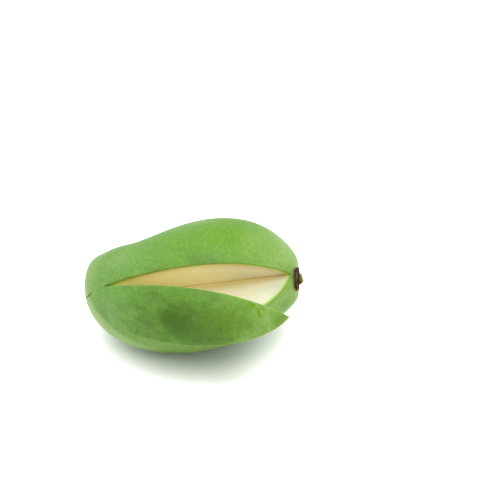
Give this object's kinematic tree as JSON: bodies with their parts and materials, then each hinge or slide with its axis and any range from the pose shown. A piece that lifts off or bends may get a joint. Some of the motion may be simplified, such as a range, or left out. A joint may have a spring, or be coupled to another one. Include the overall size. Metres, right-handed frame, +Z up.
{
  "type": "mango",
  "caption": "Green mango lying on its cheek, with a wedge cut along its near side and swung open on a bridge of flesh, and a corky stalk end.",
  "frame": {"origin": "on the surface that the fruit lies on, under the middle of its bounding box", "axes": "+X towards the stem end, -Y towards the cut side, +Z up, square to the flat spot that the fruit lies on"},
  "size_m": [0.1164, 0.089, 0.0707],
  "materials": {
    "mango_fruit": "green skin with a dull waxy bloom, cream flesh on the cut faces",
    "stalk_collar": "dry purplish brown cork",
    "stalk_stub": "dry olive green wood"
  },
  "bodies": {
    "root": {"mango_fruit": "mango_fruit", "stalk_collar": "stalk_collar", "stalk_stub": "stalk_stub"}
  },
  "joints": []
}
